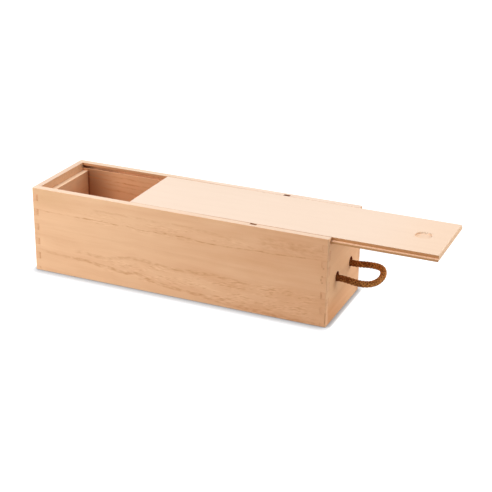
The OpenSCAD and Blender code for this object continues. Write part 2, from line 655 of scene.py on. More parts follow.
    def _level(self, shader: Shader, run: Term, width: Term, depth: Term) -> Term:
        """Works out how far up through the growth rings a spot lies.

        Args:
            shader: the board's material.
            run: the spot's place along the grain.
            width: its place across the board.
            depth: its place through the board.

        Returns:
            That distance in millimetres.
        """
        wave = shader.joined(run / 130 + self.seed, width / 45 + self.seed, depth / 60)
        stray = (shader.noise(wave, 2.0) - 0.5) * (2 * self.wander)
        level = width + depth * self.slant + stray
        if not self.lines:
            return level
        lowest = self._height(shader, run, self.lines[-1])
        return level - (lowest - FLAT_LINE) * (1 - width.step(*FOLLOWED))

    def _late_wood(self, shader: Shader, level: Term) -> Term:
        """Works out the dark late wood of the rings, which are each of another strength.

        Args:
            shader: the board's material.
            level: how far up through the rings a spot lies.

        Returns:
            How much late wood there is, from 0 to 1.
        """
        ring = level / self.ring_gap + self.seed
        cell = ring.floor()
        share = ring - cell
        strength = shader.chance(cell)
        return share.step(0.2, 0.86) * (1 - share.step(0.88, 1.0)) * strength * strength

    @staticmethod
    def _height(shader: Shader, run: Term, line: GrainLine) -> Term:
        """Works out the height of a line at a place along the board.

        Args:
            shader: the board's material.
            run: that place.
            line: the line.

        Returns:
            The height in millimetres.
        """
        points = tuple(((x - CURVE_START) / CURVE_LENGTH, z / CURVE_HEIGHT) for x, z in line.points)
        place = (run - CURVE_START) / CURVE_LENGTH
        node = shader.node("ShaderNodeFloatCurve", {"curve": points}, {1: place})
        return Term(shader, node.outputs[0]) * CURVE_HEIGHT

    def _line_darkness(self, shader: Shader, run: Term, width: Term) -> Number:
        """Works out what the single lines do to a spot.

        Args:
            shader: the board's material.
            run: the spot's place along the grain.
            width: its place across the board.

        Returns:
            How much darker the spot is.
        """
        total: Number = 0.0
        for number, line in enumerate(self.lines):
            start, end = line.points[0][0], line.points[-1][0]
            ripple = shader.noise(shader.joined(run / 14, width / 30, number * 7.3), 3.0)
            feather = shader.noise(shader.joined(run / 4.5, width / 1.1, number * 4.9), 2.0)
            height = self._height(shader, run, line) + (ripple - 0.5) * 2.2 + (feather - 0.5) * 1.3
            place = shader.joined(run / 9, width / 2.5 + number * 3.1, 5.0)
            thick = shader.noise(place, 3.0).step(0.34, 0.68)
            band = width.peak(height, line.core, line.reach)
            fade = run.step(start, start + LINE_FADE) * (1 - run.step(end - LINE_FADE, end))
            total = band * fade * (thick * 1.4 + 0.1) * line.depth + total
        return total


# Attributes of the braid's points.
REST_PLACE = "rest_place"
CREST = "crest"


@dataclass(frozen=True)
class RopeFinish:
    """Brown yarn of a braided rope, slightly fuzzy: pale on its crests from wear and a painted
    highlight, with painted shade between them.

    Attributes:
        name: the material's name.
        slot: the record's material slot.
        lit: colour of worn yarn that catches the light, partly wear and partly a painted highlight.
        middle: colour of yarn that isn't worn.
        deep: colour of the painted shade between the strands.
        speckle: scale of the small specks, in turns of the noise for each millimetre.
        patch: scale of the worn patches.
        fluff: scale of the fuzz.
        bend: places along X between which the rope turns from its darker part by the holes to its
            lit part at the loop, painted light.
        bend_light: how much lighter it is past them.
        wear_and_light: how worn and lit it is on average, below zero.
    """

    name: str = "brown_yarn"
    slot: str = "rope"
    lit: Colour = (0.70, 0.31, 0.092)
    middle: Colour = (0.27, 0.085, 0.022)
    deep: Colour = (0.085, 0.02, 0.006)
    speckle: float = 0.62
    patch: float = 0.16
    fluff: float = 6.0
    bend: Tuple[float, float] = (180, 214)
    bend_light: float = 0.8
    wear_and_light: float = -0.37

    def paint(self) -> bpy.types.Material:
        """Builds the material, whose pattern follows the yarn by its attributes.

        Returns:
            The material.
        """
        shader = Shader(self.name)
        rest = shader.node("ShaderNodeAttribute", {"attribute_name": REST_PLACE}).outputs["Vector"]
        height = shader.node("ShaderNodeAttribute", {"attribute_name": CREST}).outputs["Fac"]
        crest = Term(shader, height)
        speckle = shader.noise(shader.scaled(rest, self.speckle), 3.0, 0.65)
        patch = shader.noise(shader.scaled(rest, self.patch), 2.0)
        fluff = shader.noise(shader.scaled(rest, self.fluff), 2.0, 0.7)
        # The yarn turns lighter from the holes towards the loop: painted light, with painted shade
        # by the holes under the lid.
        lit_towards_loop = shader.split(rest)[0].step(*self.bend)
        # Crests are paler from wear and a painted highlight; specks and patches are the yarn's own.
        worn = crest.step(0.74, 1.0) * 0.5 + (speckle - 0.5) * 4.2 + (patch - 0.5) * 1.2
        worn = worn + lit_towards_loop * self.bend_light + self.wear_and_light
        # Between the strands: painted shade; specks and fuzz: the yarn's own.
        shade = (1 - crest.step(0.5, 0.84)) + (0.5 - speckle) * 2.0 + (fluff - 0.5) * 0.8
        bump = shader.node(
            "ShaderNodeBump",
            sockets={"Strength": 0.8, "Distance": 0.2 * MM, "Height": speckle + fluff * 0.6},
        )
        colour = shader.mixed(worn, self.middle, self.lit)
        skin = shader.node(
            "ShaderNodeBsdfPrincipled",
            sockets={
                "Base Color": shader.mixed(shade, colour, self.deep),
                "Roughness": 0.85 + (fluff - 0.5) * 0.2,
                "Specular IOR Level": 0.08,
                "Normal": bump.outputs[0],
            },
        )
        return shader.finish(skin)


@dataclass(frozen=True)
class FloorFinish:
    """A white table: it shows white to the camera, with the shadows that lie on it.

    Attributes:
        name: the material's name.
        colour: colour that lights the box from below.
        glow: how much of its white doesn't depend on the lamps.
        seen: colour that the lamps' shadows are seen in.
        contact: how far the close shadow reaches from the box.
        lift: how much the floor past the box's ends is brightened.
        ends: places along the box where the shadows thin out and end, in millimetres.
        sides: places across the box where they do.
    """

    name: str = "white_table"
    colour: Colour = (0.6, 0.6, 0.6)
    glow: float = 0.86
    seen: Colour = (0.24, 0.25, 0.27)
    contact: float = 0.0132
    lift: float = 0.25
    ends: Tuple[float, float] = (178.5, 183.8)
    sides: Tuple[float, float] = (120.0, 260.0)

    def paint(self) -> bpy.types.Material:
        """Builds the material.

        Returns:
            The material.
        """
        shader = Shader(self.name)
        plain = shader.node("ShaderNodeBsdfDiffuse", sockets={"Color": opaque(self.colour)})
        shaded = shader.node("ShaderNodeBsdfDiffuse", sockets={"Color": opaque(self.seen)})
        near = shader.node(
            "ShaderNodeAmbientOcclusion", {"samples": 12}, {"Distance": self.contact}
        )
        along, across, _ = shader.place()
        beyond = abs(along).step(*self.ends).most(abs(across).step(*self.sides))
        gap = Term(shader, near.outputs["AO"]).most(beyond)
        glow = shader.node(
            "ShaderNodeEmission",
            sockets={"Strength": gap * gap * self.glow + beyond * self.lift},
        )
        both = shader.node(
            "ShaderNodeAddShader", sockets={0: shaded.outputs[0], 1: glow.outputs[0]}
        )
        ray = shader.node("ShaderNodeLightPath").outputs["Is Camera Ray"]
        surface = shader.node(
            "ShaderNodeMixShader", sockets={0: ray, 1: plain.outputs[0], 2: both.outputs[0]}
        )
        return shader.finish(surface)


# Painted highlight on the upper faces of the closed end.
RIM_HIGHLIGHT: Colour = (0.84, 0.65, 0.51)
# Dark brown of painted shade in gaps, slots and groove ends.
DARK_SHADE: Colour = (0.13, 0.032, 0.016)

# The ways that stained faces look, and the borders that several stains share, in millimetres.
UPWARDS: Facing = ("Z", 0.3, 0.8)
SIDEWAYS: Facing = ("y", 0.4, 0.8)
ENDWAYS: Facing = ("X", 0.4, 0.8)
INTO_BOX: Facing = ("Y", 0.0, -0.6)
TOP_FACE: Span = ("Z", 97.2, 97.5, 101, 102)
SEAM_HEIGHT: Span = ("Z", 96.9, 97.1, 101, 102)
GROOVE_HEIGHT: Span = ("Z", 93.2, 93.5, 96.9, 97.2)
GROOVE_WIDTH: Span = ("y", 46.1, 46.3, 49.3, 49.6)

# Painted shade in the gap between the lid and the rim.
SEAM_SHADE = Stain(DARK_SHADE, 0.7, within=(("y", 45.0, 45.5, 46.1, 46.4), SEAM_HEIGHT))
# Painted shade along the lid's near edge, where its flank lies in the groove.
NEAR_SEAM_SHADE = Stain(
    (0.52, 0.25, 0.13),
    0.8,
    within=(("X", 0, 60, 176, 178), ("Y", -47.2, -46.9, -44, -43), SEAM_HEIGHT),
)
# Painted shade in the neck rest's slots, which are shallow pits.
SLOT_MOUTH_SHADE = Stain(
    DARK_SHADE,
    within=(("X", 87.0, 87.6, 94.4, 95.0), ("y", 45.0, 45.5, 49.4, 50.3), ("Z", 90, 92, 101, 102)),
)
# Painted shade where the lid's groove runs out at the rope end.
GROOVE_END_SHADE = Stain(
    DARK_SHADE,
    0.7,
    within=(
        ("X", 150, 170, 179, 180),
        ("y", 45.8, 46.2, 49.3, 49.6),
        ("Z", 93.3, 93.6, 96.9, 97.2),
    ),
)
# Painted highlight on the rounded upright corners.
CORNER_HIGHLIGHT = Stain(
    (0.98, 0.60, 0.34), 0.9, within=(("x", 176.2, 176.7, 179, 180), ("y", 52.7, 53.2, 56, 57))
)
# Painted highlight on the end faces beside the front corner.
END_STRIP_HIGHLIGHT = Stain(
    (0.97, 0.60, 0.355), 0.75, within=(("y", 46.5, 49.5, 60, 61),), facing=(ENDWAYS,)
)
CRACK = Stain(
    (0.42, 0.17, 0.06),
    0.5,
    within=(("X", 175.7, 176.3, 176.9, 177.5), ("Z", 2, 5, 14, 18)),
    facing=(SIDEWAYS,),
)
JOINT_DOTS = tuple(
    Stain(
        (0.40, 0.17, 0.06),
        0.45,
        within=(
            ("X", x - 1.1, x - 0.4, x + 0.4, x + 1.1),
            ("Z", z - high, z - 0.4, z + 0.4, z + high),
        ),
        facing=(SIDEWAYS,),
    )
    for x, z, high in (
        (170.6, 53.4, 1.8),
        (171.8, 57.4, 1.3),
        (172.0, 50.2, 1.2),
        (173.0, 66.6, 1.3),
        (171.6, 35, 5),
    )
)

FRONT_PALE_CORNER = Stain(
    (0.88, 0.55, 0.31),
    within=(("X", -182, -181, -160, -110), ("Z", 72, 90, 101, 102)),
    facing=(("Y", -0.4, -0.8),),
)
FRONT_LINES = (
    GrainLine(((-174, 74.6), (-150, 74.2), (-118, 73.7)), core=0.2, reach=0.95, depth=0.2),
    GrainLine(
        (
            *((-132, 73.6), (-120, 73.6), (-100, 74), (-70, 73.1), (-55, 73.8), (-42, 72.2)),
            *((-20, 72.9), (20, 73), (32, 71.6), (68, 71.2), (100, 73), (115, 72.6)),
            *((135, 74), (170, 75.8), (179, 76)),
        ),
        core=0.2,
        reach=0.95,
        depth=0.37,
    ),
    GrainLine(
        ((-105, 85.5), (-60, 85.8), (-30, 85.2), (0, 85.6), (40, 84), (72, 79)),
        core=0.3,
        reach=2.4,
        depth=0.15,
    ),
    GrainLine(((95, 84), (150, 84), (182, 85)), core=3.0, reach=10.0, depth=0.2),
    GrainLine(
        (
            *((-128, 31), (-110, 32.5), (-100, 30.5), (-85, 31), (-75, 32), (-58, 36)),
            *((-38, 36.5), (-13, 33.6), (20, 34), (60, 34.5), (90, 31)),
        ),
        core=0.5,
        reach=3.2,
        depth=0.21,
    ),
    GrainLine(((-178, 25.5), (-160, 24.5), (-130, 22.5)), core=0.4, reach=2.2, depth=0.16),
    GrainLine(
        (
            *((-142, 23.3), (-130, 22.5), (-105, 22.5), (-92, 19.8), (-80, 20), (-70, 17.6)),
            *((-58, 17.6), (-47, 18.8), (-38, 16.5), (-20, 12.4), (0, 10.5), (22, 9)),
            *((38, 7.6), (48, 5.8), (75, 4), (178, 1)),
        ),
        core=0.7,
        reach=3.0,
        depth=0.29,
    ),
)
FRONT_FLECKS = (
    FleckPatch(run=95, run_reach=95, width=20, width_reach=19, climb=0.11, depth=0.42),
    FleckPatch(run=-30, run_reach=70, width=24, width_reach=16, climb=-0.05, depth=0.26),
    FleckPatch(run=0, run_reach=150, width=76, width_reach=9, climb=0.0, depth=0.18),
)
FRONT_WOOD = WoodFinish(
    name="front_side_wood",
    slot="side_wood",
    lie=Lie.ON_EDGE,
    # The drift is partly the board's own tone and partly painted shade towards the rope end.
    drift=0.8,
    drift_from=-60.0,
    # Painted highlight on the upper faces.
    top=(0.91, 0.71, 0.545),
    lines=FRONT_LINES,
    flecks=FRONT_FLECKS,
    stains=(
        FRONT_PALE_CORNER,
        SEAM_SHADE,
        NEAR_SEAM_SHADE,
        SLOT_MOUTH_SHADE,
        GROOVE_END_SHADE,
        END_STRIP_HIGHLIGHT,
        CORNER_HIGHLIGHT,
        CRACK,
        *JOINT_DOTS,
    ),
    end_grain=0.03,
    ring_depth=0.045,
    cloud=0.1,
    wander=2.0,
    seed=2.3,
)

# Painted shade on the inner face of the back wall.
BACK_INSIDE_SHADE = Stain(
    (0.82, 0.45, 0.24), within=(("Z", -2, -1, 96.9, 97.2),), facing=(INTO_BOX,)
)
# Painted shade on the inside of the lip above the groove.
BACK_LIP_SHADE = Stain(
    (0.62, 0.27, 0.12), 0.7, within=(("Z", 96.6, 96.9, 99.4, 99.9),), facing=(INTO_BOX,)
)
BACK_SHADE = Stain(
    (0.33, 0.15, 0.075),
    0.78,
    within=(("X", -164.5, -164, -158, -115), ("Z", 5, 10, 93, 93.6)),
    facing=(INTO_BOX,),
)
BACK_GROOVE_SHADE = Stain(
    (0.30, 0.11, 0.05),
    0.5,
    within=(("X", -172, -171, -140, -115), GROOVE_WIDTH, GROOVE_HEIGHT),
)
# Painted shade at the closed end of the groove.
BACK_GROOVE_CORNER_SHADE = Stain(
    DARK_SHADE,
    0.7,
    within=(("X", -172, -171, -166, -152), GROOVE_WIDTH, GROOVE_HEIGHT),
)
# Painted shade in the corner between the spacer and the back wall.
SPACER_CORNER_SHADE = Stain(
    (0.22, 0.07, 0.03),
    0.75,
    within=(("X", -164.2, -164, -162.2, -161), ("Y", 44, 45, 46.2, 46.5), ("Z", 4, 6, 90, 91)),
)
# Painted highlight on the back wall's top.
FAR_RIM_HIGHLIGHT = Stain(
    (0.945, 0.78, 0.64), within=(("X", -70, 10, 400, 401), TOP_FACE), facing=(UPWARDS,)
)
# Painted shade along the inner edge of the back wall's top.
FAR_RIM_EDGE_SHADE = Stain(
    (0.62, 0.34, 0.18),
    0.75,
    within=(("X", -62, -56, 0, 60), ("Y", 45.8, 46.0, 46.5, 46.9), TOP_FACE),
)
# Painted shade on the lip above the far groove, beside the lid.
FAR_SEAM_SHADE = Stain(
    (0.60, 0.31, 0.15),
    0.8,
    within=(("X", -180, -179, 0, 90), ("y", 45.0, 45.5, 46.1, 46.3), ("Z", 96.9, 97.1, 99.8, 100)),
)
BACK_LINES = (
    GrainLine(
        ((-170, 88.5), (-120, 88), (-60, 87), (0, 87.5), (170, 86)), core=0.3, reach=1.6, depth=0.3
    ),
    GrainLine(
        ((-175, 83.5), (-140, 83), (-100, 81.5), (-40, 82), (60, 80), (175, 81)),
        core=0.3,
        reach=1.3,
        depth=0.42,
    ),
    GrainLine(((-160, 79), (-120, 77.5), (-60, 76)), core=0.2, reach=1.0, depth=0.3),
    GrainLine(((-150, 72), (-110, 70.5), (-70, 70), (20, 71)), core=0.4, reach=2.0, depth=0.36),
    GrainLine(((-172, 61), (-100, 59), (0, 60), (120, 56)), core=0.3, reach=1.4, depth=0.4),
    GrainLine(((-175, 17), (0, 15), (175, 16)), core=0.5, reach=2.4, depth=0.3),
)
BACK_WOOD = WoodFinish(
    name="back_side_wood",
    slot="side_wood",
    lie=Lie.ON_EDGE,
    drift=0.5,
    # Painted highlight on the upper faces.
    top=(0.88, 0.70, 0.53),
    lines=BACK_LINES,
    line_side=-1.0,
    stains=(
        BACK_INSIDE_SHADE,
        BACK_LIP_SHADE,
        BACK_SHADE,
        BACK_GROOVE_SHADE,
        SPACER_CORNER_SHADE,
        BACK_GROOVE_CORNER_SHADE,
        FAR_RIM_HIGHLIGHT,
        FAR_RIM_EDGE_SHADE,
        FAR_SEAM_SHADE,
        SLOT_MOUTH_SHADE,
        CORNER_HIGHLIGHT,
    ),
    ring_gap=4.2,
    ring_depth=0.14,
    slant=0.3,
    seed=5.1,
)

CLOSED_END_WOOD = WoodFinish(
    name="closed_end_wood",
    slot="end_wood",
    lie=Lie.ACROSS,
    # Painted highlight on the upper face.
    top=RIM_HIGHLIGHT,
    stains=(CORNER_HIGHLIGHT,),
    ring_gap=7.0,
    ring_depth=0.08,
    wander=7.0,
    slant=0.5,
    seed=8.7,
)

ROPE_END_FLANK = Stain((0.87, 0.497, 0.279), facing=(SIDEWAYS,))
# Painted light that fills the shadow of the lid and the rope on the rope end's face.
ROPE_END_LIGHT = Stain(
    (1.0, 0.635, 0.36),
    0.95,
    within=(("Y", -56, -54, 8, 30), ("Z", 12, 34, 88, 94)),
    facing=(ENDWAYS,),
)
# Painted shade inside the rope holes.
ROPE_HOLE_SHADE = Stain((0.40, 0.05, 0.016), facing=(("X", 0.9, -0.2),), round_hole=(22, 46.2, 5.5))
HOLE_SHADE = Stain(
    (0.70, 0.36, 0.17),
    0.35,
    within=(("Y", -35, -30, -27, -22), ("Z", 30, 38, 48, 55)),
    facing=(ENDWAYS,),
)
ROPE_END_WOOD = WoodFinish(
    name="rope_end_wood",
    slot="end_wood",
    lie=Lie.ACROSS,
    pale=(0.96, 0.58, 0.325),
    warm=(0.83, 0.43, 0.21),
    # The drift along Y is painted shade, darker towards the front corner.
    drift=1.0,
    drift_axis="Y",
    drift_from=30,
    drift_to=-35,
    stains=(
        END_STRIP_HIGHLIGHT,
        ROPE_END_FLANK,
        CORNER_HIGHLIGHT,
        CRACK,
        *JOINT_DOTS,
        ROPE_END_LIGHT,
        ROPE_HOLE_SHADE,
        HOLE_SHADE,
    ),
    end_grain=0.03,
    ring_gap=7.0,
    ring_depth=0.08,
    wander=7.0,
    slant=0.5,
    seed=9.6,
)

INNER_WOOD = WoodFinish(
    name="inner_board_wood",
    slot="inner_wood",
    lie=Lie.ACROSS,
    # Painted highlight on the spacer's upper face.
    top=(0.98, 0.74, 0.52),
    top_from=80,
    ring_gap=5.0,
    ring_depth=0.12,
    wander=6.0,
    seed=11.9,
)
BOTTOM_WOOD = WoodFinish(
    name="bottom_board_wood",
    slot="inner_wood",
    lie=Lie.FLAT,
    drift=0.3,
    ring_gap=6.5,
    ring_depth=0.16,
    wander=10.0,
    slant=0.2,
    seed=14.2,
)

RECESS: Tuple[Span, Span] = (("X", 252.5, 252.8, 270.4, 270.8), ("y", -2, -1, 9.0, 9.5))
# Painted highlight on the recess's floor, a little weaker than on the lid's top.
RECESS_FLOOR_HIGHLIGHT = Stain((0.94, 0.705, 0.53), within=(*RECESS, ("Z", 97.6, 97.9, 101, 102)))
# Painted light on the recess's walls, which would otherwise show darker.
RECESS_WALL_LIGHT = Stain(
    (1.0, 0.88, 0.74),
    within=(*RECESS, ("Z", 98.3, 98.5, 101, 102)),
    facing=(("z", 0.75, 0.4),),
)
RECESS_SHADE = Stain(
    (0.93, 0.64, 0.43),
    0.8,
    within=(("X", 252, 253, 254.5, 260.5), ("y", -2, -1, 4.8, 9.0), ("Z", 97.6, 97.8, 99.4, 99.9)),
)
# Painted shade on the recess's wall towards the lid's end, which faces the lamps.
RECESS_LIP_SHADE = Stain(
    (0.78, 0.56, 0.41),
    within=(("X", 262, 264, 271, 272), RECESS[1], ("Z", 97.6, 97.9, 101, 102)),
    facing=(("X", -0.15, -0.6),),
)
# Painted highlight on the lid's top.
LID_TOP_HIGHLIGHT = Stain(
    (0.972, 0.775, 0.625), within=(("X", -60, 300, 400, 401), TOP_FACE), facing=(UPWARDS,)
)
# The same painted highlight, warmer towards the lid's outer end.
LID_FAR_TOP_HIGHLIGHT = Stain(
    (0.972, 0.74, 0.565), within=(("X", 200, 290, 400, 401), TOP_FACE), facing=(UPWARDS,)
)
# Painted shade on the lid's flanks above the tongues.
LID_FLANK_SHADE = Stain(
    (0.62, 0.30, 0.118), within=(("y", 45.0, 45.3, 60, 61),), facing=(("y", 0.3, 0.8),)
)
LID_END = Stain((0.84, 0.56, 0.35), facing=(("X", 0.3, 0.8),))
TONGUE = Stain(
    (0.86, 0.535, 0.35),
    within=(("y", 45.9, 46.1, 60, 61), ("Z", 90, 92, 96.8, 97.2)),
    facing=(UPWARDS,),
)
LID_WOOD = WoodFinish(
    name="lid_wood",
    slot="lid_wood",
    lie=Lie.FLAT,
    pale=(0.92, 0.65, 0.43),
    dark=(0.60, 0.36, 0.22),
    warm=(0.88, 0.58, 0.37),
    # Painted highlight on the upper faces.
    top=(0.912, 0.7435, 0.611),
    stains=(
        LID_TOP_HIGHLIGHT,
        LID_FAR_TOP_HIGHLIGHT,
        LID_FLANK_SHADE,
        LID_END,
        TONGUE,
        RECESS_FLOOR_HIGHLIGHT,
        RECESS_WALL_LIGHT,
        RECESS_SHADE,
        RECESS_LIP_SHADE,
    ),
    ring_gap=8.0,
    ring_depth=0.03,
    wander=8.0,
    slant=0.2,
    cloud=0.03,
    fibre=0.035,
    pore=0.03,
    seed=17.4,
)


# ---------------------------------------------------------------- solids


@dataclass(frozen=True)
class Block:
    """A box between two corners, in metres.

    Attributes:
        low: its lowest corner.
        high: its highest corner.
    """

    low: Vector
    high: Vector

    @staticmethod
    def of_node(name: str) -> "Block":
        """The box round a CAD node."""
        low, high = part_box(name)
        return Block(low, high)

    @property
    def size(self) -> Vector:
        """Its three side lengths."""
        return self.high - self.low

    @property
    def middle(self) -> Vector:
        """Its centre."""
        return (self.low + self.high) / 2

    def mesh(self) -> bmesh.types.BMesh:
        """Makes its six faces.

        Returns:
            Their mesh.
        """
        bm = bmesh.new()
        stretch = Matrix.Diagonal((*self.size, 1.0))
        bmesh.ops.create_cube(bm, size=1.0, matrix=Matrix.Translation(self.middle) @ stretch)
        return bm


def rod(
    start: Point, axis: str, length: float, radius: float, sides: int = 64
) -> bmesh.types.BMesh:
    """A round bar, for holes and recesses.

    Args:
        start: the middle of its first end.
        axis: "X" or "Z", the way it points.
        length: its length.
        radius: its radius.
        sides: how many sides its circle has.

    Returns:
        The bar's mesh.
    """
    bm = bmesh.new()
    turn = Matrix.Rotation(math.radians(90), 4, "Y") if axis == "X" else Matrix.Identity(4)
    along = Vector((1, 0, 0)) if axis == "X" else Vector((0, 0, 1))
    centre = Vector(start) + along * (length / 2)
    bmesh.ops.create_cone(
        bm,
        cap_ends=True,
        segments=sides,
        radius1=radius,
        radius2=radius,
        depth=length,
        matrix=Matrix.Translation(centre) @ turn,
    )
    return bm


# Corners closer than this are merged, and faces that turn less than this are joined.
MERGED = 0.001 * MM
FLAT_ANGLE = math.radians(0.5)

# Edges that turn more than this are eased.
SHARP_ANGLE = math.radians(40)

# How far a cutter reaches past the wood that it cuts.
PAST = 1.0 * MM

# Strips of a visibly rounded edge, and sides of the larger circles.
ROUND = 6
WIDE_CIRCLE = 96


class Cut(Enum):
    """How one solid changes another."""

    AWAY = "DIFFERENCE"
    KEEP = "INTERSECT"
    ADD = "UNION"


def link(name: str, bm: bmesh.types.BMesh) -> bpy.types.Object:
    """Turns a bmesh into an object of the scene.

    Args:
        name: the object's name.
        bm: the mesh, which is freed.

    Returns:
        The object.
    """
    data = bpy.data.meshes.new(name)
    bm.to_mesh(data)
    bm.free()
    made = bpy.data.objects.new(name, data)
    bpy.context.scene.collection.objects.link(made)
    return made


def unlink(piece: bpy.types.Object) -> None:
    """Removes a working object and its data.

    Args:
        piece: the mesh or curve object.
    """
    data = piece.data
    bpy.data.objects.remove(piece)
    if isinstance(data, bpy.types.Mesh):
        bpy.data.meshes.remove(data)
    else:
        bpy.data.curves.remove(data)


def carve(body: bmesh.types.BMesh, tool: bmesh.types.BMesh, cut: Cut) -> bmesh.types.BMesh:
    """Cuts one closed mesh by another.

    Args:
        body: the mesh that is changed, which is freed.
        tool: the mesh that changes it, which is freed.
        cut: what is done.

    Returns:
        The new mesh.
    """
    work, cutter = link("work", body), link("cutter", tool)
    modifier = work.modifiers.new("carve", "BOOLEAN")
    modifier.operation = cut.value
    modifier.solver = "EXACT"
    modifier.object = cutter
    made = bmesh.new()
    made.from_object(work, bpy.context.evaluated_depsgraph_get())
    unlink(work)
    unlink(cutter)
    bmesh.ops.remove_doubles(made, verts=made.verts, dist=MERGED)
    bmesh.ops.dissolve_limit(made, angle_limit=FLAT_ANGLE, verts=made.verts, edges=made.edges)
    return made


def ease(
    bm: bmesh.types.BMesh,
    width: float,
    segments: int = 2,
    chosen: Optional[Callable[[bmesh.types.BMEdge], bool]] = None,
) -> None:
    """Takes the sharpness off the arrises of a mesh.

    Args:
        bm: the mesh.
        width: how far the easing reaches on each face.
        segments: how many strips it has.
        chosen: a test for an edge, for all sharp edges if there is none.
    """
    edges = [
        edge
        for edge in bm.edges
        if len(edge.link_faces) == 2
        and edge.calc_face_angle(0.0) > SHARP_ANGLE
        and (chosen is None or chosen(edge))
    ]
    bmesh.ops.bevel(
        bm,
        geom=edges,
        offset=width,
        offset_type="OFFSET",
        segments=segments,
        profile=0.5,
        affect="EDGES",
        clamp_overlap=True,
        material=-1,
    )


class Maker:
    """Places finished pieces: their body, the nodes they stand for and their material."""

    @staticmethod
    def place(
        piece: bpy.types.Object,
        body: Optional[str],
        nodes: Sequence[str],
        slot: str,
        material: bpy.types.Material,
    ) -> bpy.types.Object:
        """Finishes a piece.

        Args:
            piece: the object.
            body: the CAD body that it rides on, or None where it bends between two.
            nodes: the CAD nodes that it stands for.
            slot: the record's material slot.
            material: its material.

        Returns:
            The same object.
        """
        piece.data.materials.clear()
        piece.data.materials.append(material)
        if body is not None:
            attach(piece, body)
        if nodes:
            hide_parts(*nodes)
        log.info("%s: %d faces, for %s", piece.name, len(piece.data.polygons), ", ".join(nodes))
        return piece


# ---------------------------------------------------------------- the box


